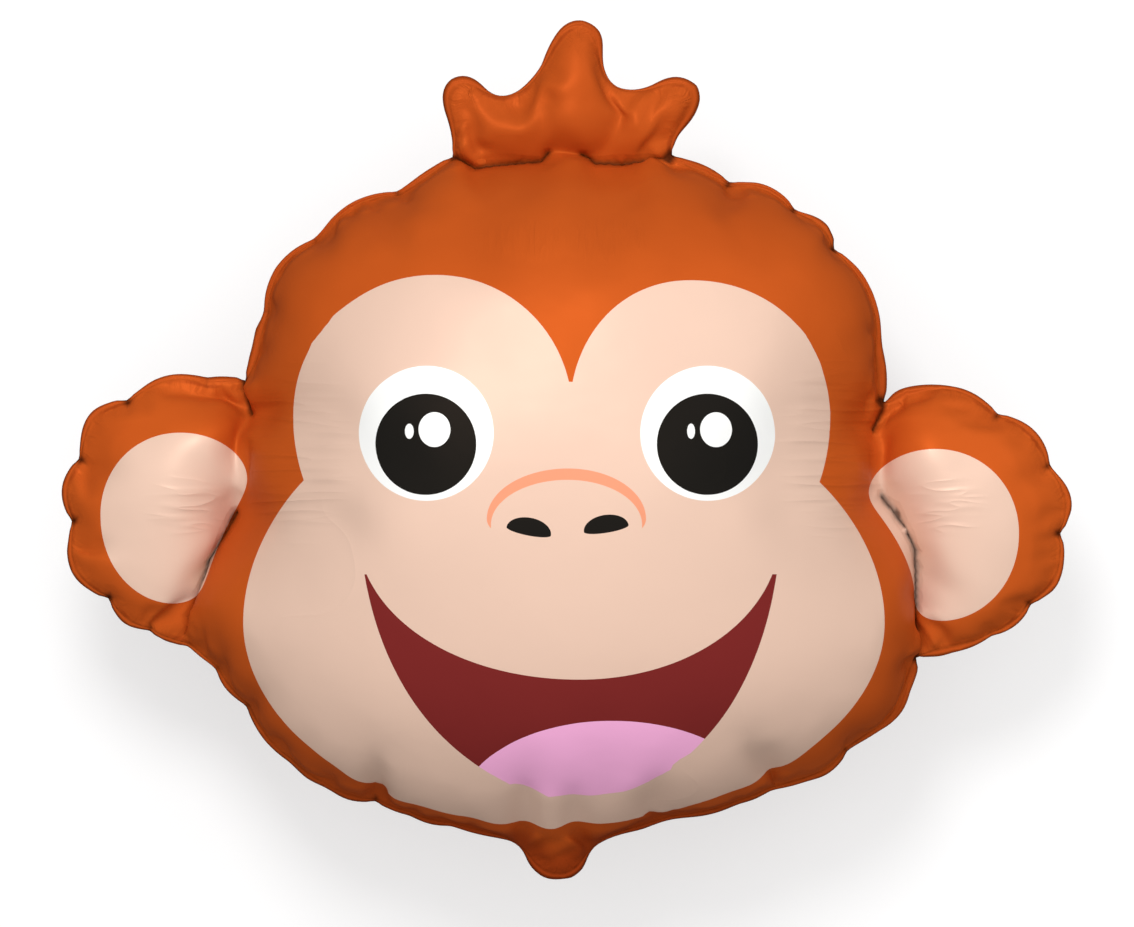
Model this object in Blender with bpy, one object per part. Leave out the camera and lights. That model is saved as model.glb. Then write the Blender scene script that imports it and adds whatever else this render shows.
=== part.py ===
"""Monkey-head foil balloon, inflated and lying on its back with the printed face up.

Metres, +Z up. The foil is two flat panels heat sealed all round, so the inflated balloon is one
closed body: lobes for the head, two ears and a tuft of hair, a thin flat seam all round and a short
filling tail. The plan is drawn as pinches in the seam, with a round bulge of foil between two
pinches, and the lobes rise from it as an evenly pressed skin would.
"""

import math

import bmesh
import bpy
import numpy as np
from mathutils import Vector
from mathutils.geometry import delaunay_2d_cdt

# Driving sizes
SPAN = 0.620  # ear to ear, over the seams
HALF_THICKNESS = 0.125  # from the seam's plane to the front of the head
SEAM_WIDTH = 0.006  # flat heat-sealed edge outside the inflated foil
SEAM_THICKNESS = 0.0012
FOOT_SLICE = 0.003  # how far the underside is pressed flat where it lies on a floor
CREASE_DEPTH = 0.0050  # fold that runs inwards from each pinch in the seam
CREASE_WIDTH = 0.0065
CREASE_LENGTH = 0.050

# How finely the skin is divided
EDGE_STEP = 0.0062
BAND_STEP = 0.0090
CROWN_STEP = 0.0165
BAND_WIDTH = 0.024  # strip beside seams and welds that takes the finer division
FIRST_RISE = 0.0022  # width of the steep row of facets next to the seam

# The plan, in millimetres at the drawn span. Each entry is a point on the cut edge and how far the
# edge bulges outwards (or, if negative, inwards) before the next point. It runs clockwise.
DRAWN_SPAN = 620.0
TUFT = [
    (-70, 180, -1.5), (-76, 209, 6.0), (-65, 230, 1.5), (-53, 224, -1.0), (-43, 216, -2.0),
    (-27, 222, -0.5), (-16, 235, 1.0), (-6, 256, 3.0), (10, 263, 3.0), (22, 250, -0.5),
    (22, 233, -2.0), (31, 221, -1.5), (50, 222, 0.7), (62, 228, 1.2), (74, 227, 2.5),
    (82, 216, 2.0), (70, 195, -2.5),
]
RIGHT_TEMPLE = [
    (65, 179, 3.5), (100, 163, 8.0), (141, 145, 8.0), (164, 122, 2.0), (183, 104, 3.0),
    (192, 65, 2.5),
]
RIGHT_EAR = [
    (194, 27, 2.5), (206, 38, 1.5), (235, 39, 3.5), (263, 22, 9.5), (296, -12, 10.0),
    (302, -51, 1.0), (304, -67, 6.5), (284, -94, 5.0), (259, -114, 2.0), (236, -124, 2.0),
]
RIGHT_JAW = [
    (214, -126, 2.5), (210, -146, 4.5), (191, -172, 0.5), (172, -183, 5.0), (146, -203, 1.0),
    (125, -208, 1.5), (104, -217, 1.5), (77, -225, -2.0), (45, -233, -2.0),
]
TAIL = [
    (14, -244, 0.5), (9, -258, 2.0), (-4, -263, 2.0), (-19, -259, 2.0), (-27, -244, -1.5),
]
LEFT_JAW = [
    (-41, -238, 1.0), (-72, -230, 2.5), (-96, -224, 1.5), (-118, -215, 4.0), (-147, -207, 2.5),
    (-169, -192, 4.5), (-197, -156, 4.0), (-216, -132, 2.0),
]
LEFT_EAR = [
    (-231, -120, 3.0), (-257, -110, 6.5), (-280, -92, 14.0), (-303, -45, 9.5), (-298, -4, 13.0),
    (-268, 31, 8.0), (-221, 44, 1.5),
]
LEFT_TEMPLE = [
    (-197, 43, 1.0), (-192, 66, 2.5), (-186, 81, 11.0), (-153, 130, 8.5), (-103, 158, 1.5),
]
PLAN = TUFT + RIGHT_TEMPLE + RIGHT_EAR + RIGHT_JAW + TAIL + LEFT_JAW + LEFT_EAR + LEFT_TEMPLE

# Stretches where front and back foil are welded to each other inside the outline, so that the ears
# and the tuft stand off the head. The gas passes through the gap between two welds.
WELDS = [
    [(-197, 43), (-192, 22)],
    [(-231, -120), (-224, -92), (-217, -67), (-201, -38)],
    [(194, 27), (187, 12)],
    [(214, -126), (213, -92), (213, -61), (207, -47), (193, -29)],
    [(-70, 180), (-56, 172), (-36, 176), (-14, 176)],
    [(65, 179), (50, 176), (34, 177), (19, 175)],
]
TAIL_TAB_TOP = -240.0  # the tail is welded flat below this, for a ribbon or a clip
PINCH_BULGE = 2.0  # stretches that bulge more than this meet in a pinch, which folds the foil

FOIL_COLOUR = (0.58, 0.095, 0.012, 1.0)
FOIL_ROUGHNESS = 0.32
FOIL_METALLIC = 0.25

MM = SPAN / DRAWN_SPAN


def arc(start, end, bulge, step):
    """Points from start towards end, without the end, along a round bow that stands out by bulge."""
    chord = end - start
    length = np.hypot(*chord)
    outward = np.array([-chord[1], chord[0]]) / length
    count = max(2, round(length / step))
    along = np.arange(count) / count
    return start + along[:, None] * chord + (4 * along * (1 - along) * bulge)[:, None] * outward


def cut_edge():
    """The cut edge of the foil, as points about EDGE_STEP apart, and the numbers of its pinches."""
    stretches = []
    pinches = []
    count = 0
    for i, (x, y, bulge) in enumerate(PLAN):
        x_next, y_next, _ = PLAN[(i + 1) % len(PLAN)]
        if min(bulge, PLAN[i - 1][2]) > PINCH_BULGE:
            pinches.append(count)
        points = arc(np.array([x, y]) * MM, np.array([x_next, y_next]) * MM, bulge * MM, EDGE_STEP)
        stretches.append(points)
        count += len(points)
    edge = np.concatenate(stretches)
    # the foil rounds each corner a little
    rounded = (np.roll(edge, 1, 0) + 4 * edge + np.roll(edge, -1, 0)) / 6
    return rounded, pinches


def inward(edge):
    """Unit normals of a clockwise loop, pointing into the foil."""
    along = np.roll(edge, -1, 0) - np.roll(edge, 1, 0)
    along /= np.hypot(*along.T)[:, None]
    return np.column_stack([along[:, 1], -along[:, 0]])


def divided(line, step):
    """A drawn weld in metres, as points about one step apart."""
    points = [np.array(line[0]) * MM]
    for a, b in zip(line, line[1:]):
        a, b = np.array(a) * MM, np.array(b) * MM
        count = max(1, round(np.hypot(*(b - a)) / step))
        points += [a + (b - a) * k / count for k in range(1, count + 1)]
    return np.array(points)


def distance_to(points, marks):
    return np.min(np.hypot(*(points[:, None, :] - marks[None, :, :]).transpose(2, 0, 1)), axis=1)


def inside(points, loop):
    """Which points lie inside a closed loop, by counting the edges crossed to their right."""
    within = np.zeros(len(points), bool)
    for (x0, y0), (x1, y1) in zip(loop, np.roll(loop, -1, 0)):
        crosses = (y0 > points[:, 1]) != (y1 > points[:, 1])
        if y0 != y1:
            reach = x0 + (x1 - x0) * (points[:, 1] - y0) / (y1 - y0)
            within ^= crosses & (points[:, 0] < reach)
    return within


def triangle_grid(low, high, step):
    """A sheet of points at the corners of equal triangles."""
    rise = step * math.sqrt(3) / 2
    rows = int((high[1] - low[1]) / rise) + 1
    columns = int((high[0] - low[0]) / step) + 2
    return np.array([
        (low[0] + (i + 0.5 * (j % 2)) * step, low[1] + j * rise)
        for j in range(rows)
        for i in range(columns)
    ])


def plan_mesh():
    """The plan divided into triangles. Gives points, triangles, and marks for the edge, seam and pinches."""
    edge, pinches = cut_edge()
    into = inward(edge)
    seam = edge + into * SEAM_WIDTH
    rise = seam + into * FIRST_RISE
    welds = [divided(line, EDGE_STEP) for line in WELDS]
    held = np.concatenate([seam, *welds])

    low, high = edge.min(0), edge.max(0)
    band = triangle_grid(low, high, BAND_STEP)
    crown = triangle_grid(low, high, CROWN_STEP)
    from_held = distance_to(band, held)
    band = band[inside(band, rise) & (from_held > FIRST_RISE + BAND_STEP / 2) & (from_held < BAND_WIDTH)]
    crown = crown[inside(crown, seam) & (distance_to(crown, held) > BAND_WIDTH)]
    weld_points = np.concatenate(welds)
    weld_points = weld_points[inside(weld_points, rise) & (distance_to(weld_points, rise) > FIRST_RISE)]
    rise = rise[distance_to(rise, weld_points) > FIRST_RISE]

    points = np.concatenate([edge, seam, rise, weld_points, band, crown])
    n = len(edge)
    loops = [(k, (k + 1) % n) for k in range(n)] + [(n + k, n + (k + 1) % n) for k in range(n)]
    found = delaunay_2d_cdt([Vector(p) for p in points], loops, [], 1, 1e-7)
    points = np.array([(v.x, v.y) for v in found[0]])
    on_edge = distance_to(points, edge) < 1e-6
    on_seam = distance_to(points, seam) < 1e-6
    on_weld = distance_to(points, weld_points) < 1e-6
    on_tab = points[:, 1] < TAIL_TAB_TOP * MM
    folds = [(seam[k], into[k]) for k in pinches]
    return points, [tuple(f) for f in found[2]], on_edge, on_seam | on_weld | on_tab, folds


def pressed_skin(points, triangles, held):
    """How far an evenly pressed skin lifts at each point when it is held down at the held points."""
    count = len(points)
    stiffness = np.zeros((count, count))
    load = np.zeros(count)
    for corners in triangles:
        a, b, c = (points[k] for k in corners)
        sides = np.array([c - b, a - c, b - a])
        area = abs(sides[0, 0] * sides[1, 1] - sides[0, 1] * sides[1, 0]) / 2
        stiffness[np.ix_(corners, corners)] += sides @ sides.T / (4 * area)
        load[list(corners)] += area / 3
    free = ~held
    lift = np.zeros(count)
    lift[free] = np.linalg.solve(stiffness[np.ix_(free, free)], load[free])
    return lift


def crease(points, folds):
    """How deep the folds that run in from the pinches are at each point."""
    depth = np.zeros(len(points))
    for start, direction in folds:
        away = points - start
        along = away @ direction
        aside = away @ np.array([-direction[1], direction[0]])
        shape = np.exp(-((aside / CREASE_WIDTH) ** 2)) * np.clip(1 - along / CREASE_LENGTH, 0, 1)
        depth = np.maximum(depth, np.where(along > 0, shape, 0))
    return depth * CREASE_DEPTH


def heights():
    """The plan's mesh and the height of the front foil above the seam's plane at each point."""
    points, triangles, on_edge, on_held, folds = plan_mesh()
    lift = pressed_skin(points, triangles, on_edge | on_held)
    height = HALF_THICKNESS * np.sqrt(lift / lift.max())
    height = np.maximum(height - crease(points, folds), 0.5 * height)
    height = np.maximum(height, SEAM_THICKNESS / 2)
    height[on_edge] = 0
    return points, triangles, on_edge, height


def balloon():
    """Front and back foil joined along the cut edge, with the underside pressed flat where it rests."""
    points, triangles, on_edge, height = heights()
    centre = (points.min(0) + points.max(0)) / 2
    seam_level = HALF_THICKNESS - FOOT_SLICE
    shape = bmesh.new()
    front = []
    back = []
    for (x, y), rise, shared in zip(points - centre, height, on_edge):
        front.append(shape.verts.new((x, y, seam_level + rise)))
        back.append(front[-1] if shared else shape.verts.new((x, y, seam_level - rise)))
    for corners in triangles:
        shape.faces.new([front[k] for k in corners])
        shape.faces.new([back[k] for k in reversed(corners)])
    everything = shape.verts[:] + shape.edges[:] + shape.faces[:]
    cut = bmesh.ops.bisect_plane(
        shape, geom=everything, plane_co=(0, 0, 0), plane_no=(0, 0, -1), clear_outer=True
    )
    rim = [part for part in cut["geom_cut"] if isinstance(part, bmesh.types.BMEdge)]
    bmesh.ops.contextual_create(shape, geom=rim)
    bmesh.ops.recalc_face_normals(shape, faces=shape.faces[:])
    mesh = bpy.data.meshes.new("balloon")
    shape.to_mesh(mesh)
    shape.free()
    mesh.shade_smooth()
    made = bpy.data.objects.new("balloon", mesh)
    bpy.context.scene.collection.objects.link(made)
    return made


def foil_material():
    material = bpy.data.materials.new("printed_foil")
    material.use_nodes = True
    shader = material.node_tree.nodes["Principled BSDF"]
    shader.inputs["Base Color"].default_value = FOIL_COLOUR
    shader.inputs["Roughness"].default_value = FOIL_ROUGHNESS
    shader.inputs["Metallic"].default_value = FOIL_METALLIC
    return material


def main():
    for old in list(bpy.data.objects):
        bpy.data.objects.remove(old)
    balloon().data.materials.append(foil_material())


main()
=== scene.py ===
import math

import bmesh
import bpy
import numpy as np
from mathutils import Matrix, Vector
from mathutils.bvhtree import BVHTree
from mathutils.geometry import delaunay_2d_cdt
from mathutils.kdtree import KDTree


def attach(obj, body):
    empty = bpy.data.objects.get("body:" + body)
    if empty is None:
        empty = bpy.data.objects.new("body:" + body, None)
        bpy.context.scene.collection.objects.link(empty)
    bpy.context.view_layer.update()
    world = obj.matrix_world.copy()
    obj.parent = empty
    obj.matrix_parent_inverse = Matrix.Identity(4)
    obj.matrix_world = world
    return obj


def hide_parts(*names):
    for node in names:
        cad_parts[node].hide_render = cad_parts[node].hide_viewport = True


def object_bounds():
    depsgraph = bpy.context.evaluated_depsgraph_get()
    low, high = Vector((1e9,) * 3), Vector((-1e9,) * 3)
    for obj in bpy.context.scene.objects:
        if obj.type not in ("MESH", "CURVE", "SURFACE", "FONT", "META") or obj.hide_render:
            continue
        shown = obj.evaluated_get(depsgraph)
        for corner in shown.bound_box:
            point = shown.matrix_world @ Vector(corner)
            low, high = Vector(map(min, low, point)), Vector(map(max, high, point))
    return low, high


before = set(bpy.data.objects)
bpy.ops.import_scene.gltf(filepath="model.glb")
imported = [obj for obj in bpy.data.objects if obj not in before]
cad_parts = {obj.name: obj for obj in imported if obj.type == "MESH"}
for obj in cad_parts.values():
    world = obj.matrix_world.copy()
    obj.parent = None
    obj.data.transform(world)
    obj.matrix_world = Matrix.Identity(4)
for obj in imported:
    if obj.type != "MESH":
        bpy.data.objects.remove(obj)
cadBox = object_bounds()
print("frame loaded, box", [round(v, 4) for corner in cadBox for v in corner])

mm = 0.001

# The foil balloon: two flat films, heat sealed along a band inside their cut edge and at a few short
# welds, then blown up. Flat sizes are larger than the inflated ones, because the film draws in.
foil = {
    "sealWidth": 6.5 * mm,
    "sealThickness": 0.4 * mm,
    "fineStep": 6.5 * mm,        # film mesh near the seal
    "coarseStep": 11.0 * mm,     # film mesh in the middle of the head
    "fineBand": 75.0 * mm,
    "headGrowth": 1.27,          # flat film against the inflated plan
    "earGrowth": (1.13, 1.15),   # across, along the head's side
    "earLift": 4.0 * mm,
    "chinDrop": 8.0 * mm,
    "tuftGrowth": 1.20,
    "tailGrowth": 1.05,
    "edgeSoftening": 9.0 * mm,   # how far the cut edge's scallops are smoothed in the flat film
    "firstGap": 2.0 * mm,        # half the room between the films before the air comes in
    "firstWaver": 0.2 * mm,
    "pressure": 200.0,
    "frames": 60,
    "rampFrames": 25,            # pressure and seam reach their full values here
    "seamHold": 0.5,             # how firmly the cut edge is led to the plan, 0 to 1
    "sealHold": 0.5,
    "leadReach": 90.0 * mm,      # how far in from the seam the film follows it
    "leadBlend": 3.0 * mm,
    "play": 8.0 * mm,            # how far the film may lie off the frame's form
    "playFade": 12.0 * mm,       # in from the seal, the play is free up to here
    "smoothPasses": (2, 12),     # near the seam, in the open film
    "openFilm": 30.0 * mm,       # from the cut edge
    "restFlat": 4.0 * mm,        # how far the floor presses the back in
    "leastInset": 2.5 * mm,      # seal inside the plan without its scallops
    "leastMargin": 1.0 * mm,     # film left outside the seal at a pinch
    "scallop": 50.0 * mm,        # usual length of a scallop between two pinches
    "pinchApart": 9.0 * mm,      # and the least
    "pinchDepth": 3.5 * mm,      # notch in the plan that makes a full pinch
    "pinchWidth": 4.2 * mm,
    "pinchFade": (5.0 * mm, 20.0 * mm),   # its fold runs in from the cut edge and fades out
    "weldFade": 4.5 * mm,        # the film is gathered up to here beside a weld
    "notch": 2.2 * mm,           # how much sharper than the plan a pinch is drawn in
    "overhang": -0.3 * mm,       # how far the film may hang out over the seal
    "overhangReach": 45.0 * mm,
    "overhangRound": 1.5 * mm,
    "sealCalm": 9.0 * mm,        # how far the seal's ups and downs are smoothed along it
    "flutterCalm": 6.0 * mm,     # and the margin's
    "flutter": 0.3,              # share of the margin's own waves that stays
    "printReach": 18.0 * mm,     # puckers up to about twice this carry the print along
}

# Where the inflated plan passes from the head into its other lobes, in metres. A fade is where the
# change begins, as a distance from the balloon's middle, and the length that it takes.
lobes = {
    "earFrom": 0.195,
    "earFade": (0.185, 0.05),
    "earMiddle": -0.04,
    "earHalf": 0.13,
    "tuftFrom": 0.178,
    "tuftFade": (0.165, 0.03),
    "tuftHalf": 0.09,
    "tailFrom": -0.238,
    "tailFade": (0.235, 0.01),
    "tailMiddle": -0.007,
    "chinFade": (0.12, 0.08),
    "chinHalf": 0.15,
    "chinSide": 0.05,
    "pinched": (-0.24, 0.192),   # the seam has pinches between these heights, not in the tuft and tail
}

# Welds inside the outline, in millimetres of the inflated plan
welds = [
    [(-197, 43), (-192, 22)],
    [(-231, -120), (-224, -92), (-218, -67), (-201, -38)],
    [(194, 27), (187, 12)],
    [(214, -126), (213, -92), (213, -61), (207, -47), (193, -29)],
    [(-70, 180), (-56, 172), (-36, 174), (-16, 176), (-11, 182)],
    [(65, 179), (50, 176), (34, 174), (18, 175), (9, 182)],
]


def eased(x):
    x = np.clip(x, 0, 1)
    return x * x * (3 - 2 * x)


def frameEdge(node):
    # the frame's cut edge, as a ring of plan points, clockwise, and its level
    near = 0.01 * mm
    bm = bmesh.new()
    bm.from_mesh(node.data)
    bmesh.ops.remove_doubles(bm, verts=bm.verts[:], dist=near)
    bm.normal_update()
    fold = [
        e for e in bm.edges
        if len(e.link_faces) == 2 and e.link_faces[0].normal.z * e.link_faces[1].normal.z < 0
        and not (e.is_convex and e.calc_face_angle() < 0.1)
    ]
    levels = [e.verts[0].co.z for e in fold if abs(e.verts[0].co.z - e.verts[1].co.z) < near]
    level = float(np.median(levels))
    fold = [e for e in fold if max(abs(v.co.z - level) for v in e.verts) < 2 * near]
    nextTo = {}
    for e in fold:
        a, b = e.verts
        nextTo.setdefault(a, []).append(b)
        nextTo.setdefault(b, []).append(a)
    here = max(nextTo, key=lambda v: v.co.y)
    ring = [here]
    step = max(nextTo[here], key=lambda v: v.co.x)
    while step is not ring[0]:
        ring.append(step)
        here, step = step, next(v for v in nextTo[step] if v is not here)
    points = np.array([v.co.xy for v in ring])
    bm.free()
    return points, level


def closedRing(ring):
    # the ring with its first point again at the end, and how far along it each point lies
    closed = np.vstack([ring, ring[:1]])
    return closed, np.concatenate([[0], np.cumsum(np.hypot(*np.diff(closed, axis=0).T))])


def alongRing(ring, along):
    # points of a closed ring at distances along it
    closed, marks = closedRing(ring)
    wanted = np.mod(along, marks[-1])
    return np.column_stack([np.interp(wanted, marks, closed[:, k]) for k in (0, 1)])


def spacedRing(ring, step):
    length = closedRing(ring)[1][-1]
    return alongRing(ring, np.linspace(0, length, int(length / step), endpoint=False))


def softenedRing(ring, reach, places=None):
    # a gaussian run along the ring, reach in metres; places are given where ring holds other values
    places = ring if places is None else places
    step = np.hypot(*(places[1] - places[0]))
    offsets = np.arange(-int(4 * reach / step), int(4 * reach / step) + 1)
    weights = np.exp(-((offsets * step / reach) ** 2) / 2)
    weights /= weights.sum()
    return sum(w * np.roll(ring, -int(k), axis=0) for k, w in zip(offsets, weights))


def flatPlace(plan):
    # where a point of the inflated plan lies in the flat film: ears, tuft and tail draw in less
    plan = np.asarray(plan, float)
    x, y = plan[..., 0], plan[..., 1]
    aside = np.abs(x)
    head, ear, tuft, tail = (foil[k] for k in ("headGrowth", "earGrowth", "tuftGrowth", "tailGrowth"))

    def into(lobe, away):
        start, length = lobes[lobe]
        return eased((away - start) / length)

    def moved(flat, there, share):
        return flat + (np.stack(there, -1) - flat) * share[..., None]

    flat = head * plan
    inChin = into("chinFade", -y) * eased((lobes["chinHalf"] - aside) / lobes["chinSide"])
    flat = flat - np.stack([0 * inChin, foil["chinDrop"] * inChin], -1)
    earX = np.sign(x) * (head * lobes["earFrom"] + ear[0] * (aside - lobes["earFrom"]))
    earY = head * lobes["earMiddle"] + foil["earLift"] + ear[1] * (y - lobes["earMiddle"])
    beside = np.abs(y - lobes["earMiddle"]) < lobes["earHalf"]
    flat = moved(flat, [earX, earY], into("earFade", aside) * beside)
    tuftY = head * lobes["tuftFrom"] + tuft * (y - lobes["tuftFrom"])
    flat = moved(flat, [tuft * x, tuftY], into("tuftFade", y) * (aside < lobes["tuftHalf"]))
    tailX = head * lobes["tailMiddle"] + tail * (x - lobes["tailMiddle"])
    tailY = head * lobes["tailFrom"] + tail * (y - lobes["tailFrom"])
    return moved(flat, [tailX, tailY], into("tailFade", -y))


def inwards(ring):
    along = np.roll(ring, -1, 0) - np.roll(ring, 1, 0)
    along /= np.hypot(*along.T)[:, None]
    return np.column_stack([along[:, 1], -along[:, 0]])


def isInside(points, ring):
    within = np.zeros(len(points), bool)
    for (x0, y0), (x1, y1) in zip(ring, np.roll(ring, -1, 0)):
        if y0 != y1:
            crosses = (y0 > points[:, 1]) != (y1 > points[:, 1])
            within ^= crosses & (points[:, 0] < x0 + (x1 - x0) * (points[:, 1] - y0) / (y1 - y0))
    return within


def distanceTo(points, marks):
    tree = KDTree(len(marks))
    for i, (x, y) in enumerate(marks):
        tree.insert((x, y, 0), i)
    tree.balance()
    found = [tree.find((x, y, 0)) for x, y in points]
    return np.array([f[2] for f in found]), np.array([f[1] for f in found])


def triangleGrid(low, high, step):
    rise = step * math.sqrt(3) / 2
    rows = int((high[1] - low[1]) / rise) + 2
    columns = int((high[0] - low[0]) / step) + 2
    return np.array([
        (low[0] + (i + 0.5 * (j % 2)) * step, low[1] + j * rise)
        for j in range(rows)
        for i in range(columns)
    ])


def weldPlaces(step):
    # points along the welds in the inflated plan
    points = []
    for line in welds:
        corners = [np.array(p) * mm for p in line]
        for a, b in zip(corners, corners[1:]):
            count = max(1, round(np.hypot(*(b - a)) / step))
            points += [a + (b - a) * k / count for k in range(count + 1)]
    return np.array(points)


def weldHomes(flatPoints):
    # where points of the flat welds belong in the inflated plan
    plan = weldPlaces(1 * mm)
    return plan[distanceTo(flatPoints, flatPlace(plan))[1]]


def flatFilm(planEdge):
    # the flat film as triangles, with the ring of its cut edge, the seal line and the welds
    step = foil["fineStep"]
    room = 0.6 * step   # kept free beside the seal line and the welds
    cut = flatPlace(softenedRing(planEdge, foil["edgeSoftening"]))
    seal = cut + inwards(cut) * foil["sealWidth"]
    weld = flatPlace(weldPlaces(step / foil["headGrowth"]))
    weld = weld[isInside(weld, seal)]
    weld = weld[distanceTo(weld, seal)[0] > room]
    low, high = cut.min(0), cut.max(0)
    fine = triangleGrid(low, high, step)
    fine = fine[isInside(fine, seal)]
    fine = fine[distanceTo(fine, np.vstack([seal, weld]))[0] > room]
    fine = fine[distanceTo(fine, seal)[0] < foil["fineBand"]]
    coarse = triangleGrid(low, high, foil["coarseStep"])
    coarse = coarse[isInside(coarse, seal)]
    coarse = coarse[distanceTo(coarse, seal)[0] > foil["fineBand"] + 0.3 * foil["coarseStep"]]
    points = np.vstack([cut, seal, weld, fine, coarse])
    count = len(cut)
    rim = [(k, (k + 1) % count) for k in range(count)]
    found = delaunay_2d_cdt([Vector(p) for p in points], rim, [], 1, 1e-7)
    flat = np.array([v.xy for v in found[0]])
    cutAt = distanceTo(cut, flat)[1]
    sealAt = distanceTo(seal, flat)[1]
    weldAt = sorted(set(distanceTo(weld, flat)[1].tolist()))
    return flat, found[2], cutAt, sealAt, weldAt


def blownUp(flat, triangles, cutAt, sealAt, weldAt, planEdge):
    # Cloth on the two films, with air inside; gives the places of the front and the back film's points
    shared = np.zeros(len(flat), bool)
    shared[cutAt] = True
    shared[sealAt] = True
    rng = np.random.default_rng(3)
    apart = foil["firstGap"] + rng.normal(0, foil["firstWaver"], len(flat))
    bm = bmesh.new()
    front = [bm.verts.new((x, y, 0 if s else z)) for (x, y), s, z in zip(flat, shared, apart)]
    back = [f if s else bm.verts.new((x, y, -z)) for f, (x, y), s, z in zip(front, flat, shared, apart)]
    for corners in triangles:
        bm.faces.new([front[k] for k in corners])
        if not all(shared[k] for k in corners):
            bm.faces.new([back[k] for k in reversed(corners)])
    for k in weldAt:
        if not shared[k]:
            bm.edges.new((front[k], back[k]))
    bm.verts.index_update()
    frontAt = np.array([v.index for v in front])
    backAt = np.array([v.index for v in back])
    mesh = bpy.data.meshes.new("film")
    bm.to_mesh(mesh)
    bm.free()
    film = bpy.data.objects.new("film", mesh)
    bpy.context.scene.collection.objects.link(film)

    blown = film.vertex_groups.new(name="blown")
    blown.add([int(k) for k in np.concatenate([frontAt[~shared], backAt[~shared]])], 1.0, "REPLACE")
    led = film.vertex_groups.new(name="led")
    led.add([int(k) for k in frontAt[cutAt]], foil["seamHold"], "REPLACE")
    led.add([int(k) for k in frontAt[sealAt]], foil["sealHold"], "REPLACE")
    calm = softenedRing(planEdge, foil["edgeSoftening"])
    inward = inwards(calm)
    sealPlan = calm + inward * sealDepths(((calm - planEdge) * inward).sum(1), calm)[:, None]
    film.shape_key_add(name="flat")
    drawnIn = film.shape_key_add(name="drawnIn")
    for k, (x, y) in zip([*frontAt[cutAt], *frontAt[sealAt]], [*planEdge, *sealPlan]):
        drawnIn.data[int(k)].co = (x, y, 0)
    for value, atFrame in ((0.0, 1), (1.0, foil["rampFrames"])):
        drawnIn.value = value
        drawnIn.keyframe_insert("value", frame=atFrame)

    cloth = film.modifiers.new("air", "CLOTH")
    film.modifiers["air"].collision_settings.use_collision = False
    cloth.point_cache.frame_start = 1
    cloth.point_cache.frame_end = foil["frames"]
    settings = cloth.settings
    settings.quality = 5
    settings.mass = 0.1
    settings.air_damping = 2.0
    settings.bending_model = "ANGULAR"
    settings.tension_stiffness = 300
    settings.compression_stiffness = 7
    settings.shear_stiffness = 20
    settings.bending_stiffness = 0.04
    settings.tension_damping = 5
    settings.compression_damping = 5
    settings.shear_damping = 5
    settings.bending_damping = 0.5
    settings.use_pressure = True
    settings.vertex_group_pressure = "blown"
    settings.use_sewing_springs = True
    settings.sewing_force_max = 0
    settings.effector_weights.gravity = 0
    settings.vertex_group_mass = "led"
    settings.pin_stiffness = 1.0
    for value, atFrame in ((0.1 * foil["pressure"], 1), (foil["pressure"], foil["rampFrames"])):
        settings.uniform_pressure_force = value
        settings.keyframe_insert("uniform_pressure_force", frame=atFrame)
    scene = bpy.context.scene
    scene.frame_start, scene.frame_end = 1, foil["frames"]
    for atFrame in range(1, foil["frames"] + 1):
        scene.frame_set(atFrame)
    evaluated = film.evaluated_get(bpy.context.evaluated_depsgraph_get())
    places = np.empty(len(evaluated.data.vertices) * 3)
    evaluated.data.vertices.foreach_get("co", places)
    places = places.reshape(-1, 3)
    bpy.data.objects.remove(film)
    bpy.data.meshes.remove(mesh)
    scene.frame_set(1)
    return places[frontAt], places[backAt]


def runningLeast(values, count):
    # the least of each value and its neighbours, count to either side in a closed ring
    return np.min([np.roll(values, k) for k in range(-count, count + 1)], axis=0)


def sealDepths(bulge, ring):
    # how far the seal lies inside the plan without its scallops: almost straight from pinch to pinch
    step = np.hypot(*(ring[1] - ring[0]))
    least = runningLeast(bulge, round(foil["scallop"] / 2 / step))
    return softenedRing(np.maximum(foil["leastMargin"] - least, foil["leastInset"]), 6 * mm, ring)


def pinchesOf(bulge, step):
    # 1 at the deep notches between the scallops, fading out along the seam
    deepest = bulge <= runningLeast(bulge, round(foil["pinchApart"] / step))
    highest = -runningLeast(-bulge, round(foil["scallop"] / 2 / step))
    depth = np.clip((highest - bulge) / foil["pinchDepth"], 0, 1) * deepest
    width = foil["pinchWidth"]
    reach = round(3 * width / step)
    return np.max([
        math.exp(-((k * step / width) ** 2)) * np.roll(depth, k) for k in range(-reach, reach + 1)
    ], axis=0)


def ringsHome(places, cutAt, sealAt, planRing, planEdge):
    # The cut edge comes to the frame's plan, and the seal runs inside it. Both keep the places along
    # the seam that the blown film gave them. Also tells how close each point is to a pinch.
    calm = softenedRing(planEdge, foil["edgeSoftening"])
    inward = inwards(calm)
    forward = np.column_stack([-inward[:, 1], inward[:, 0]])
    slip = softenedRing(((calm - places[sealAt, :2]) * forward).sum(1), 8 * mm, calm)
    step = closedRing(planRing)[1][-1] / len(cutAt)
    cutHome = alongRing(planRing, np.arange(len(cutAt)) * step - slip)
    calmHome = calm - forward * slip[:, None]
    bulge = ((calmHome - cutHome) * inward).sum(1)
    lowest, highest = lobes["pinched"]
    pinch = pinchesOf(bulge, step) * (calmHome[:, 1] > lowest) * (calmHome[:, 1] < highest)
    sealHome = calmHome + inward * (sealDepths(bulge, calm) + foil["notch"] * pinch)[:, None]
    cutHome = cutHome + inward * (foil["notch"] * pinch ** 3)[:, None]
    return cutHome, sealHome, inward, pinch


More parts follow.
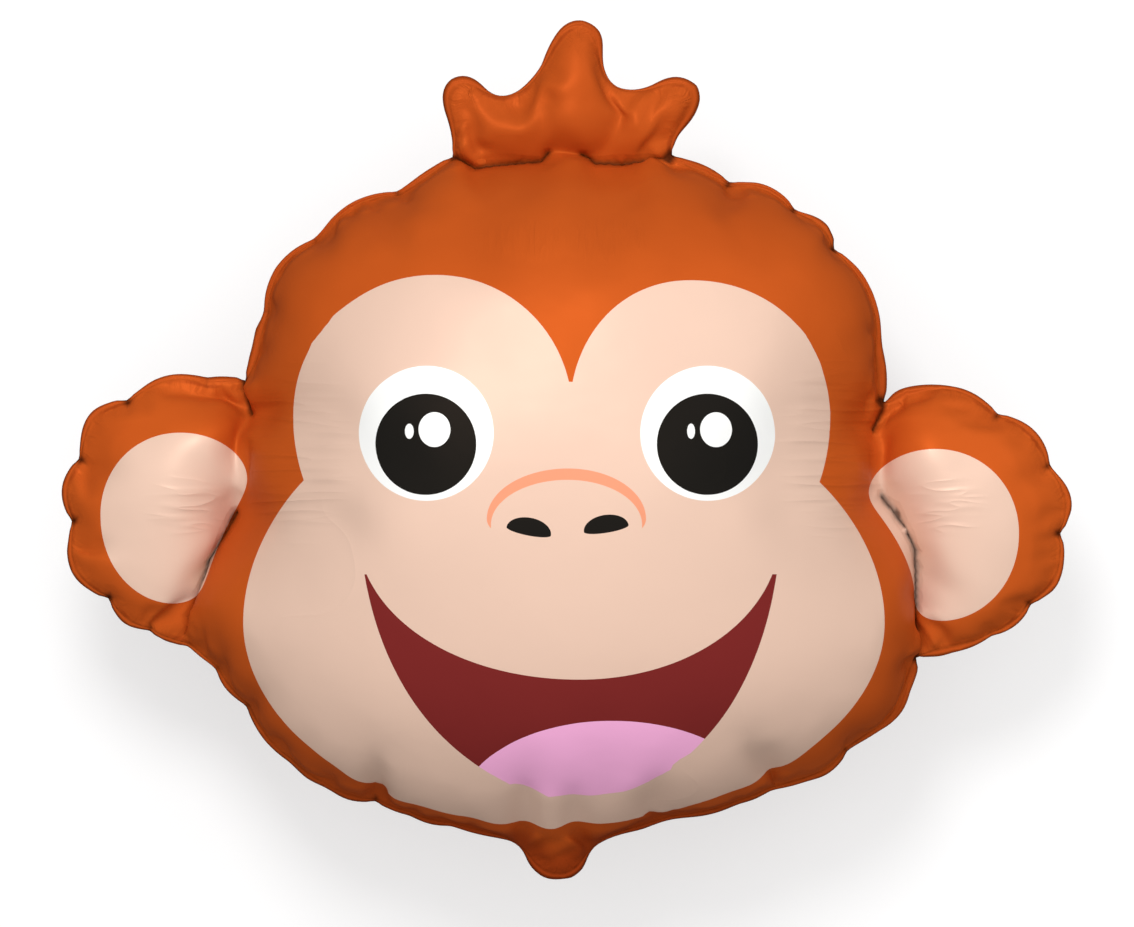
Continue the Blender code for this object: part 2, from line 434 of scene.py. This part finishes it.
def ledToFrame(places, flat, cutAt, sealAt, weldAt, cutHome, sealHome, seamLevel, rise):
    # Brings a blown film to the frame's plan and levels, and keeps its own puckers
    guides = np.concatenate([sealAt, weldAt])
    moves = np.vstack([sealHome, weldHomes(flat[weldAt])]) - places[guides, :2]
    reach = np.hypot(*(flat[:, None] - flat[None, guides]).transpose(2, 0, 1))
    pull = (reach ** 2 + foil["leadBlend"] ** 2) ** -2
    pull /= pull.sum(1)[:, None]
    fade = 1 - eased(reach.min(1) / foil["leadReach"])
    led = places.copy()
    led[:, :2] += (pull @ moves) * fade[:, None]
    led[:, 2] = seamLevel + places[:, 2] * rise
    led[sealAt, :2] = sealHome
    led[cutAt, :2] = cutHome
    sealLevel = softenedRing(places[sealAt, 2], foil["sealCalm"], sealHome)
    flutter = softenedRing(places[cutAt, 2] - places[sealAt, 2], foil["flutterCalm"], sealHome)
    led[sealAt, 2] = seamLevel + sealLevel
    led[cutAt, 2] = seamLevel + sealLevel + foil["flutter"] * flutter
    return led


def printPlaces(places, flat):
    # The print was made on the flat film, and puckers carry it along. Gives where in the plan each
    # point would be without them: a curved fit to the points near it in the flat film.
    even = np.zeros((len(flat), 3))
    for first in range(0, len(flat), 400):
        apart = (flat[None] - flat[first:first + 400, None]) / foil["printReach"]
        weights = np.exp(-(apart ** 2).sum(2) / 2)
        x, y = apart[..., 0], apart[..., 1]
        terms = np.stack([np.ones(x.shape), x, y, x * x, x * y, y * y], -1)
        weighted = (terms * weights[..., None]).transpose(0, 2, 1)
        even[first:first + 400, :2] = np.linalg.solve(weighted @ terms, weighted @ places[:, :2])[:, 0]
    return even


def heldToForm(places, reach, form):
    # dents and swellings deeper than the foil's play are eased back to the frame's form
    held = places.copy()
    for k, place in enumerate(places):
        nearest, normal, _, _ = form.find_nearest(Vector(place))
        if nearest is None:
            continue
        off = (Vector(place) - nearest).dot(normal)
        play = foil["play"]
        kept = play * math.tanh(off / play)
        share = float(eased((reach[k] - foil["sealWidth"]) / foil["playFade"]))
        held[k] += np.array(normal) * (kept - off) * share
    return held


def clearOfMargin(places, reach, sealHome, inward):
    # the film stands up from the seal, so that the margin outside it shows
    clear = places.copy()
    near = np.flatnonzero((reach > foil["sealWidth"] + 1 * mm) & (reach < foil["overhangReach"]))
    beside = distanceTo(places[near, :2], sealHome)[1]
    off = ((places[near, :2] - sealHome[beside]) * inward[beside]).sum(1) + foil["overhang"]
    kept = foil["overhangRound"] * np.log1p(np.exp(off / foil["overhangRound"]))
    clear[near, :2] += inward[beside] * (kept - off)[:, None]
    return clear


def middleOf(a, b):
    # the point that a subdivision put between two neighbours
    besideB = {e.other_vert(b) for e in b.link_edges}
    return next(v for v in (e.other_vert(a) for e in a.link_edges) if v in besideB and v.tag)


def roundedMiddles(ring):
    # midpoints of a closed ring moved onto a smooth curve through its points
    places = [v.co.copy() for v in ring]
    count = len(ring)
    for k in range(count):
        before, a, b, after = (places[(k + s) % count] for s in (-1, 0, 1, 2))
        middleOf(ring[k], ring[(k + 1) % count]).co = (9 * (a + b) - before - after) / 16


def foilShell(flat, triangles, cutAt, sealAt, weldAt, pinch, printAt, frontAt, backAt):
    half = Vector((0, 0, foil["sealThickness"] / 2))
    cutSet = set(cutAt.tolist())
    bm = bmesh.new()
    gathered = bm.verts.layers.float.new("gathered")   # near a pinch or a weld
    fromCut = bm.verts.layers.float.new("fromCut")
    printLayer = bm.verts.layers.float_vector.new("printAt")
    front, back = [], []
    for k in range(len(flat)):
        high, low = Vector(frontAt[k]), Vector(backAt[k])
        if k in cutSet:
            front.append(bm.verts.new((high + low) / 2))
            back.append(front[k])
        else:
            gap = half if (high - low).z < 2 * half.z else Vector()
            front.append(bm.verts.new(high + gap))
            back.append(bm.verts.new(low - gap))
    reach, nearest = distanceTo(flat, flat[cutAt])
    step = float(np.hypot(*(flat[cutAt[1]] - flat[cutAt[0]])))
    around = step * len(cutAt)
    along = nearest * step
    fadeFrom, fadeTo = foil["pinchFade"]
    atPinch = pinch[nearest] * (1 - eased((reach - fadeFrom) / (fadeTo - fadeFrom)))
    atWeld = 0.8 * np.exp(-((distanceTo(flat, flat[weldAt])[0] / foil["weldFade"]) ** 2))
    for k, amount in enumerate(np.maximum(atPinch, atWeld)):
        front[k][gathered] = back[k][gathered] = float(amount)
        front[k][fromCut] = back[k][fromCut] = float(reach[k])
        front[k][printLayer] = Vector(printAt[k])
    seamMap = bm.loops.layers.uv.new("seam")
    for corners in triangles:
        for film, order, slot in ((front, corners, 0), (back, corners[::-1], 1)):
            face = bm.faces.new([film[k] for k in order])
            face.material_index = slot
            for loop, k in zip(face.loops, order):
                u = along[k]
                u += around * round((along[order[0]] - u) / around)
                loop[seamMap].uv = (u, reach[k])
    bm.verts.index_update()
    rings = [[film[k].index for k in at] for film, at in ((front, cutAt), (front, sealAt), (back, sealAt))]
    welded = [film[k].index for film in (front, back) for k in weldAt]
    before = len(bm.verts)
    bmesh.ops.subdivide_edges(bm, edges=bm.edges[:], cuts=1, use_grid_fill=True)
    verts = list(bm.verts)
    for k, v in enumerate(verts):
        v.tag = k >= before
    fixed = {verts[k] for k in welded}
    for ring in rings:
        ring = [verts[k] for k in ring]
        roundedMiddles(ring)
        fixed.update(ring)
        fixed.update(middleOf(a, b) for a, b in zip(ring, ring[1:] + ring[:1]))
    free = [v for v in bm.verts if v not in fixed]
    openFilm = [v for v in free if v[fromCut] > foil["openFilm"]]
    allAxes = {"use_axis_x": True, "use_axis_y": True, "use_axis_z": True}
    for smoothed, passes in zip((free, openFilm), foil["smoothPasses"]):
        for _ in range(passes):
            bmesh.ops.smooth_vert(bm, verts=smoothed, factor=0.5, **allAxes)
    for v in bm.verts:
        v.co.z = max(v.co.z, 0.0)
    for f in bm.faces:
        f.smooth = True
    bmesh.ops.recalc_face_normals(bm, faces=bm.faces[:])
    mesh = bpy.data.meshes.new("balloonFoil")
    bm.to_mesh(mesh)
    bm.free()
    shell = bpy.data.objects.new("balloonFoil", mesh)
    bpy.context.scene.collection.objects.link(shell)
    return shell


planRing, seamLevel = frameEdge(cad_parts["balloon"])
planEdge = spacedRing(planRing, foil["fineStep"] / foil["headGrowth"])
flat, triangles, cutAt, sealAt, weldAt = flatFilm(planEdge)
print("flat film", len(flat), "points,", len(triangles), "triangles; seam level", round(seamLevel, 4))
frontAt, backAt = blownUp(flat, triangles, cutAt, sealAt, weldAt, planEdge)
print("blown up", (np.vstack([frontAt, backAt]).max(0) - np.vstack([frontAt, backAt]).min(0)).round(4))

form = BVHTree.FromObject(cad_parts["balloon"], bpy.context.evaluated_depsgraph_get())
frontRise = (cadBox[1][2] - seamLevel) / frontAt[:, 2].max()
backRise = (seamLevel + foil["restFlat"]) / -backAt[:, 2].min()
cutHome, sealHome, inward, pinch = ringsHome(frontAt, cutAt, sealAt, planRing, planEdge)
frontAt = ledToFrame(frontAt, flat, cutAt, sealAt, weldAt, cutHome, sealHome, seamLevel, frontRise)
backAt = ledToFrame(backAt, flat, cutAt, sealAt, weldAt, cutHome, sealHome, seamLevel, backRise)
fromEdge = distanceTo(flat, flat[cutAt])[0]
frontAt = clearOfMargin(heldToForm(frontAt, fromEdge, form), fromEdge, sealHome, inward)
backAt = clearOfMargin(heldToForm(backAt, fromEdge, form), fromEdge, sealHome, inward)
printAt = printPlaces(frontAt, flat)
balloonFoil = foilShell(flat, triangles, cutAt, sealAt, weldAt, pinch, printAt, frontAt, backAt)
print("foil shell", len(balloonFoil.data.polygons), "triangles")

# The print on the front film. Every shape is an egg: a centre, four half sizes to the left, right, up
# and down, and a power, 2 for round and more for squarer. Sizes in millimetres, balloon's own axes.
printShapes = {
    "leftBrow": ((-80.1, 21.6), (86.3, 83.7, 84.9, 103.5), 2.02),
    "rightBrow": ((75.5, 20.3), (73.8, 85.1, 82.9, 96.7), 2.1),
    "muzzle": ((-11.2, -105.3), (185.7, 205.0, 146.9, 123.7), 1.97),
    "leftEar": ((-235.7, -40.0), (49.1, 51.5, 50.6, 55.2), 2.06),
    "leftEarFold": ((-150.0, -95.0), (72.5, 120.0, 110.0, 300.0), 1.5),
    "rightEar": ((225.2, -51.2), (51.5, 51.2, 51.8, 54.3), 2.05),
    "rightEarFold": ((150.0, -85.0), (120.0, 62.5, 75.0, 300.0), 1.5),
    "leftWhite": ((-85.1, 10.1), (41.0, 41.0, 41.0, 41.0), 2.0),
    "rightWhite": ((85.7, 10.1), (41.0, 41.0, 41.0, 41.0), 2.0),
    "leftIris": ((-85.4, 3.4), (30.7, 30.7, 30.7, 30.7), 2.0),
    "rightIris": ((85.5, 3.4), (30.7, 30.7, 30.7, 30.7), 2.0),
    "leftGlint": ((-80.1, 12.3), (9.7, 9.7, 10.6, 10.6), 2.0),
    "rightGlint": ((90.8, 12.2), (9.7, 9.7, 10.6, 10.6), 2.0),
    "leftSpark": ((-95.4, 11.3), (2.7, 2.7, 4.6, 4.6), 2.0),
    "rightSpark": ((75.6, 11.3), (2.4, 2.4, 4.6, 4.6), 2.0),
    "smileBelow": ((9.3, -34.3), (135.2, 121.3, 121.4, 176.5), 2.08),
    "smileAbove": ((7.8, -48.4), (134.9, 122.5, 300.0, 91.0), 2.04),
    "tongue": ((27.4, -227.5), (96.2, 97.4, 62.8, 60.7), 2.04),
    "noseOuter": ((0.9, -41.9), (49.2, 47.3, 30.6, 18.0), 2.0),
    "noseInner": ((0.6, -45.5), (46.4, 45.2, 27.3, 60.0), 2.0),
    "leftNostril": ((-22.8, -49.4), (13.8, 13.6, 8.3, 2.6), 2.0),
    "rightNostril": ((24.0, -47.7), (13.6, 13.8, 8.3, 2.6), 2.0),
}
printTurns = {"leftNostril": -11.0, "rightNostril": 9.0}   # degrees
smileTop = -75.5 * mm                                      # the smile's corners end level here

printColours = {
    "orange": (0.578, 0.098, 0.0130),
    "orangeDark": (0.32, 0.042, 0.006),
    "peach": (0.80, 0.555, 0.435),
    "white": (0.92, 0.92, 0.90),
    "black": (0.0105, 0.0105, 0.0095),
    "smile": (0.205, 0.0215, 0.0205),
    "tongue": (1.0, 0.47, 0.76),
    "noseArch": (0.86, 0.33, 0.19),
    # colour of the painted shade in the folds at pinches and welds
    "foldShadeColour": (0.030, 0.006, 0.002),
}

# The film's finish: shares of the darker ink for its random unevenness and for the painted shade in the
# margin, seal line, tail, tuft and folds, heights of the fine forms, and its sheen
finish = {
    "unevenness": 0.22,
    "marginShade": 0.30,
    "sealShade": 0.65,
    "tailShade": 0.95,
    "tuftShade": 0.24,
    "foldShade": 0.88,
    "pucker": 1.2 * mm,            # runs in from the seal
    "crease": 0.5 * mm,
    "tooth": 0.010 * mm,
    "cheekFold": 1.0 * mm,
    "earFold": 0.6 * mm,
    "browFold": 0.35 * mm,
    "line": 0.14 * mm,
    "pinch": -1.5 * mm,
    "roughness": (0.38, 0.48),
    "metallic": 0.12,
    "specular": 0.07,
    "sheen": (0.85, 0.45, 0.25),   # the ink colours the foil's sheen
}


def addNode(tree, kind, at=(0, 0), **values):
    node = tree.nodes.new("ShaderNode" + kind)
    node.location = at
    for name, value in values.items():
        setattr(node, name, value)
    return node


def feed(tree, socket, source):
    # a number, a colour or another node's output into a socket
    if isinstance(source, bpy.types.NodeSocket):
        tree.links.new(source, socket)
    elif source is not None:
        socket.default_value = source


def maths(tree, operation, *sources):
    node = addNode(tree, "Math", operation=operation)
    for socket, source in zip(node.inputs, sources):
        feed(tree, socket, source)
    return node.outputs[0]


def eggGroup():
    # Inside is 1 in the egg and 0 outside it, Sum is 0 in its middle and 1 on its edge
    tree = bpy.data.node_groups.new("egg", "ShaderNodeTree")
    tree.interface.new_socket("Place", in_out="INPUT", socket_type="NodeSocketVector")
    for name in ("Left", "Right", "Up", "Down", "Power"):
        tree.interface.new_socket(name, in_out="INPUT", socket_type="NodeSocketFloat")
    for name in ("Inside", "Sum"):
        tree.interface.new_socket(name, in_out="OUTPUT", socket_type="NodeSocketFloat")
    given = tree.nodes.new("NodeGroupInput").outputs
    split = addNode(tree, "SeparateXYZ")
    feed(tree, split.inputs[0], given["Place"])
    terms = []
    for axis, low, high in (("X", "Left", "Right"), ("Y", "Down", "Up")):
        away = split.outputs[axis]
        side = maths(tree, "GREATER_THAN", away, 0.0)
        more = maths(tree, "SUBTRACT", given[high], given[low])
        half = maths(tree, "MULTIPLY_ADD", more, side, given[low])
        share = maths(tree, "DIVIDE", maths(tree, "ABSOLUTE", away), half)
        terms.append(maths(tree, "POWER", share, given["Power"]))
    total = maths(tree, "ADD", *terms)
    result = tree.nodes.new("NodeGroupOutput")
    feed(tree, result.inputs["Inside"], maths(tree, "LESS_THAN", total, 1.0))
    feed(tree, result.inputs["Sum"], total)
    return tree


def noise(tree, vector, scale, detail=3.0, rough=0.5):
    node = addNode(tree, "TexNoise")
    feed(tree, node.inputs["Vector"], vector)
    node.inputs["Scale"].default_value = scale
    node.inputs["Detail"].default_value = detail
    node.inputs["Roughness"].default_value = rough
    return node.outputs["Fac"]


def stretched(tree, vector, scale):
    node = addNode(tree, "Mapping")
    feed(tree, node.inputs["Vector"], vector)
    node.inputs["Scale"].default_value = scale
    return node.outputs[0]


def ramp(tree, value, low, high, toLow=0.0, toHigh=1.0):
    node = addNode(tree, "MapRange", interpolation_type="SMOOTHSTEP")
    for k, source in enumerate((value, low, high, toLow, toHigh)):
        feed(tree, node.inputs[k], source)
    return node.outputs[0]


def mixed(tree, share, below, above):
    node = addNode(tree, "Mix", data_type="RGBA")
    feed(tree, node.inputs[0], share)
    for socket, source in ((node.inputs[6], below), (node.inputs[7], above)):
        feed(tree, socket, source if isinstance(source, bpy.types.NodeSocket) else (*source, 1.0))
    return node.outputs[2]


def ridged(tree, value, sharpness):
    # thin raised lines where a noise crosses its middle
    away = maths(tree, "ABSOLUTE", maths(tree, "MULTIPLY_ADD", value, 2.0, -1.0))
    return maths(tree, "POWER", maths(tree, "SUBTRACT", 1.0, away), sharpness)


def filmSockets(tree):
    # where a point of the film lies, how far in from the cut edge, and how much it is gathered
    place = addNode(tree, "TexCoord", (-1600, 0)).outputs["Object"]
    placeSplit = addNode(tree, "SeparateXYZ", (-1400, 0))
    feed(tree, placeSplit.inputs[0], place)
    seam = addNode(tree, "UVMap", (-1600, -400), uv_map="seam").outputs[0]
    seamSplit = addNode(tree, "SeparateXYZ", (-1400, -400))
    feed(tree, seamSplit.inputs[0], seam)
    return {
        "place": place,
        "x": placeSplit.outputs["X"],
        "y": placeSplit.outputs["Y"],
        "seam": seam,
        "fromCut": seamSplit.outputs["Y"],
        "gathered": addNode(tree, "Attribute", (-1600, -700), attribute_name="gathered").outputs["Fac"],
    }


def filmColour(tree, at):
    # orange film: a little uneven at random, with painted shade that darkens the margin outside the seal
    # and the dip of the seal line, and painted shade in the tail, in the rim beside it and in the tuft
    orange, dark = printColours["orange"], printColours["orangeDark"]
    uneven = ramp(tree, noise(tree, at["place"], 9.0), 0.3, 0.75)
    colour = mixed(tree, maths(tree, "MULTIPLY", uneven, finish["unevenness"]), orange, dark)
    # painted shade: the margin outside the seal is darkened
    margin = ramp(tree, at["fromCut"], 4.5 * mm, 6.5 * mm, finish["marginShade"], 0.0)
    colour = mixed(tree, margin, colour, dark)
    # painted shade in the dip of the seal line, broken up along the seam
    offSeal = maths(tree, "SUBTRACT", at["fromCut"], foil["sealWidth"] + 0.8 * mm)
    sealDipShade = ramp(tree, maths(tree, "ABSOLUTE", offSeal), 0.3 * mm, 2.0 * mm, finish["sealShade"], 0.0)
    broken = ramp(tree, noise(tree, stretched(tree, at["seam"], (38.0, 10.0, 1.0)), 1.0, 2.0), 0.42, 0.62)
    colour = mixed(tree, maths(tree, "MULTIPLY", sealDipShade, broken), colour, dark)
    # painted shade: the tail, the rim beside it and the tuft are darkened
    inTail = ramp(tree, at["y"], -240 * mm, -185 * mm, finish["tailShade"], 0.0)
    inRim = ramp(tree, at["fromCut"], 14 * mm, 34 * mm, 1.0, 0.0)
    inTuft = ramp(tree, at["y"], 170 * mm, 205 * mm, 0.0, finish["tuftShade"])
    paintedTailTuftShade = maths(tree, "ADD", maths(tree, "MULTIPLY", inTail, inRim), inTuft)
    return mixed(tree, paintedTailTuftShade, colour, dark)


def facePrint(tree, at, colour):
    # The face over the film's colour. Puckers carry it along in the middle of the balloon. At the
    # sides and in the ears it lies straight over the plan.
    aside = maths(tree, "ABSOLUTE", at["x"])
    printPlace = addNode(tree, "Mix", (-1200, -900), data_type="VECTOR")
    feed(tree, printPlace.inputs[0], ramp(tree, aside, 140 * mm, 170 * mm))
    printAt = addNode(tree, "Attribute", (-1600, -900), attribute_name="printAt")
    feed(tree, printPlace.inputs[4], printAt.outputs["Vector"])
    feed(tree, printPlace.inputs[5], at["place"])
    group = eggGroup()

    def egg(shape, output="Inside"):
        (x, y), (left, right, up, down), power = printShapes[shape]
        centred = addNode(tree, "Mapping", vector_type="TEXTURE", label=shape)
        feed(tree, centred.inputs["Vector"], printPlace.outputs[1])
        centred.inputs["Location"].default_value = (x * mm, y * mm, 0)
        centred.inputs["Rotation"].default_value = (0, 0, math.radians(printTurns.get(shape, 0.0)))
        node = addNode(tree, "Group", node_tree=group, label=shape)
        feed(tree, node.inputs["Place"], centred.outputs[0])
        for socket, value in (("Left", left), ("Right", right), ("Up", up), ("Down", down)):
            node.inputs[socket].default_value = value * mm
        node.inputs["Power"].default_value = power
        return node.outputs[output]

    def either(*masks):
        total = masks[0]
        for mask in masks[1:]:
            total = maths(tree, "MAXIMUM", total, mask)
        return total

    def without(mask, cut):
        return maths(tree, "MULTIPLY", mask, maths(tree, "SUBTRACT", 1.0, cut))

    def roundedWithout(shape, cut):
        # the shape less the cut, with the corners between them rounded
        within = maths(tree, "POWER", egg(shape, "Sum"), 5.0)
        beyond = maths(tree, "POWER", egg(cut, "Sum"), -5.0)
        return maths(tree, "LESS_THAN", maths(tree, "ADD", within, beyond), 1.0)

    skin = either(egg("leftBrow"), egg("rightBrow"), egg("muzzle"))
    ears = either(roundedWithout("leftEar", "leftEarFold"), roundedWithout("rightEar", "rightEarFold"))
    aboveSmile = either(egg("smileAbove"), maths(tree, "GREATER_THAN", at["y"], smileTop))
    smile = without(egg("smileBelow"), aboveSmile)
    inks = [
        (either(skin, ears), "peach"),
        (either(egg("leftWhite"), egg("rightWhite")), "white"),
        (either(egg("leftIris"), egg("rightIris")), "black"),
        (either(egg("leftGlint"), egg("rightGlint"), egg("leftSpark"), egg("rightSpark")), "white"),
        (smile, "smile"),
        (maths(tree, "MULTIPLY", smile, egg("tongue")), "tongue"),
        (without(egg("noseOuter"), egg("noseInner")), "noseArch"),
        (either(egg("leftNostril"), egg("rightNostril")), "black"),
    ]
    for mask, ink in inks:
        colour = mixed(tree, mask, colour, printColours[ink])
    return colour


def filmRelief(tree, at):
    # height of the forms that are too fine for the mesh
    place, fromCut = at["place"], at["fromCut"]

    def patch(x, y, halfX, halfY):
        # fades out around a place that both sides of the head have
        mirrored = addNode(tree, "CombineXYZ")
        feed(tree, mirrored.inputs["X"], maths(tree, "ABSOLUTE", at["x"]))
        feed(tree, mirrored.inputs["Y"], at["y"])
        scaled = addNode(tree, "Mapping", vector_type="TEXTURE")
        feed(tree, scaled.inputs["Vector"], mirrored.outputs[0])
        scaled.inputs["Location"].default_value = (x * mm, y * mm, 0)
        scaled.inputs["Scale"].default_value = (halfX * mm, halfY * mm, 1)
        length = addNode(tree, "VectorMath", operation="LENGTH")
        feed(tree, length.inputs[0], scaled.outputs[0])
        return ramp(tree, length.outputs["Value"], 0.45, 1.0, 1.0, 0.0)

    def folds(scale, sharpness, *within):
        lines = ridged(tree, noise(tree, stretched(tree, place, scale), 1.0, 1.0), sharpness)
        return maths(tree, "MULTIPLY", lines, patch(*within))

    pucker = noise(tree, stretched(tree, at["seam"], (230.0, 26.0, 1.0)), 1.0, 2.0)
    besideSeal = ramp(tree, fromCut, 7.0 * mm, 20.0 * mm, 1.0, 0.0)
    pastSeal = ramp(tree, fromCut, 4.0 * mm, 8.0 * mm)
    lines = ridged(tree, noise(tree, place, 16.0, 0.0), 24.0)
    someLines = ramp(tree, noise(tree, place, 12.0), 0.52, 0.66)
    forms = {
        "pucker": maths(tree, "MULTIPLY", pucker, maths(tree, "MULTIPLY", besideSeal, pastSeal)),
        "crease": noise(tree, place, 30.0, 2.0),
        "tooth": noise(tree, place, 1100.0, 2.0),
        "cheekFold": folds((11.0, 105.0, 1.0), 2.5, 164, 0, 42, 66),
        "earFold": folds((26.0, 120.0, 1.0), 3.5, 232, -34, 30, 22),
        "browFold": folds((170.0, 30.0, 1.0), 4.0, 24, 127, 34, 15),
        "line": maths(tree, "MULTIPLY", lines, someLines),
        "pinch": at["gathered"],
    }
    height = 0.0
    for form, mask in forms.items():
        height = maths(tree, "MULTIPLY_ADD", mask, finish[form], height)
    return height


def printedFoil(name, front):
    material = bpy.data.materials.new(name)
    material.use_nodes = True
    tree = material.node_tree
    tree.nodes.clear()
    output = addNode(tree, "OutputMaterial", (1400, 0))
    shader = addNode(tree, "BsdfPrincipled", (1100, 0))
    tree.links.new(shader.outputs[0], output.inputs["Surface"])
    at = filmSockets(tree)
    colour = filmColour(tree, at)
    if front:
        colour = facePrint(tree, at, colour)
    # painted shade: the folds at pinches and welds are darkened towards near black
    paintedFoldShade = ramp(tree, at["gathered"], 0.25, 0.85, 0.0, finish["foldShade"])
    feed(tree, shader.inputs["Base Color"], mixed(tree, paintedFoldShade, colour, printColours["foldShadeColour"]))
    bump = addNode(tree, "Bump", (800, -300))
    bump.inputs["Distance"].default_value = 1.0
    bump.inputs["Strength"].default_value = 1.0
    feed(tree, bump.inputs["Height"], filmRelief(tree, at))
    tree.links.new(bump.outputs[0], shader.inputs["Normal"])
    roughness = ramp(tree, noise(tree, at["place"], 22.0), 0.2, 0.8, *finish["roughness"])
    feed(tree, shader.inputs["Roughness"], roughness)
    shader.inputs["Metallic"].default_value = finish["metallic"]
    shader.inputs["Specular IOR Level"].default_value = finish["specular"]
    shader.inputs["Specular Tint"].default_value = (*finish["sheen"], 1)
    return material


balloonFoil.data.materials.append(printedFoil("printedFrontFoil", True))
balloonFoil.data.materials.append(printedFoil("plainBackFoil", False))
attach(balloonFoil, "root")
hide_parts("balloon")
print("print and foil finish done")

studio = {
    "cameraHeight": 12.0,
    "viewWidth": 0.694,          # at the seam's level
    "viewCentre": (0.0003, -0.0083),
    "floorRadius": 7.0,
    "keyPower": 77.0,
    "keySize": 1.4,
    "keyAt": (-0.5, 2.0, 3.8),
    "topPower": 26.0,
    "topSize": 2.5,
    "topAt": (2.2, 2.6, 2.6),
    "lightsAimAt": (0, 0, 0.1),
    "worldStrength": 0.80,
    "worldHorizon": 0.16,        # share of the sky's strength that is left at the horizon
    "worldFull": 0.7,            # its full strength is from this height of the sky up, 1 is overhead
    "floorTone": 0.46,
    "floorGlow": 0.54,           # lightens the shadow as the photo's is
    "floorBounce": 0.20,         # the floor lights the foil less than it shows
    "floorDrop": 0.2 * mm,       # keeps its surface apart from the balloon's flat spot
}

bm = bmesh.new()
bmesh.ops.create_circle(bm, cap_ends=True, segments=96, radius=studio["floorRadius"])
floorMesh = bpy.data.meshes.new("floor")
bm.to_mesh(floorMesh)
bm.free()
floor = bpy.data.objects.new("floor", floorMesh)
bpy.context.scene.collection.objects.link(floor)
floor.location.z = -studio["floorDrop"]
floorMaterial = bpy.data.materials.new("paleFloor")
floorMaterial.use_nodes = True
floorTree = floorMaterial.node_tree
floorShader = floorTree.nodes["Principled BSDF"]
lightPath = addNode(floorTree, "LightPath").outputs
seen = lightPath["Is Camera Ray"]
bounced = maths(floorTree, "MULTIPLY_ADD", lightPath["Is Diffuse Ray"], studio["floorBounce"], 0.03)
floorTone = maths(floorTree, "MULTIPLY_ADD", seen, studio["floorTone"], bounced)
floorGlow = maths(floorTree, "MULTIPLY", seen, studio["floorGlow"])
feed(floorTree, floorShader.inputs["Base Color"], floorTone)
feed(floorTree, floorShader.inputs["Emission Strength"], floorGlow)
floorShader.inputs["Emission Color"].default_value = (1, 1, 1, 1)
floorShader.inputs["Roughness"].default_value = 0.85
floorMesh.materials.append(floorMaterial)


def areaLight(name):
    light = bpy.data.lights.new(name, "AREA")
    light.shape = "DISK"
    light.size = studio[name + "Size"]
    light.energy = studio[name + "Power"]
    lamp = bpy.data.objects.new(name, light)
    lamp.location = studio[name + "At"]
    aim = Vector(studio["lightsAimAt"]) - lamp.location
    lamp.rotation_euler = aim.to_track_quat("-Z", "Y").to_euler()
    bpy.context.scene.collection.objects.link(lamp)


areaLight("key")
areaLight("top")
world = bpy.data.worlds.new("studio")
world.use_nodes = True
sky = world.node_tree
skyPlace = addNode(sky, "TexCoord").outputs["Generated"]
skySplit = addNode(sky, "SeparateXYZ")
feed(sky, skySplit.inputs[0], skyPlace)
skyTone = ramp(sky, skySplit.outputs["Z"], 0.0, studio["worldFull"], studio["worldHorizon"], 1.0)
feed(sky, sky.nodes["Background"].inputs["Color"], skyTone)
sky.nodes["Background"].inputs["Strength"].default_value = studio["worldStrength"]
bpy.context.scene.world = world
bpy.context.scene.view_settings.view_transform = "Standard"

camera = bpy.data.objects.new("camera", bpy.data.cameras.new("camera"))
bpy.context.scene.collection.objects.link(camera)
camera.location = (*studio["viewCentre"], studio["cameraHeight"])
camera.rotation_euler = (0, 0, 0)
camera.data.sensor_fit = "HORIZONTAL"
camera.data.sensor_width = 36.0
camera.data.lens = 36.0 * (studio["cameraHeight"] - seamLevel) / studio["viewWidth"]
camera.data.clip_end = 60.0
bpy.context.scene.camera = camera
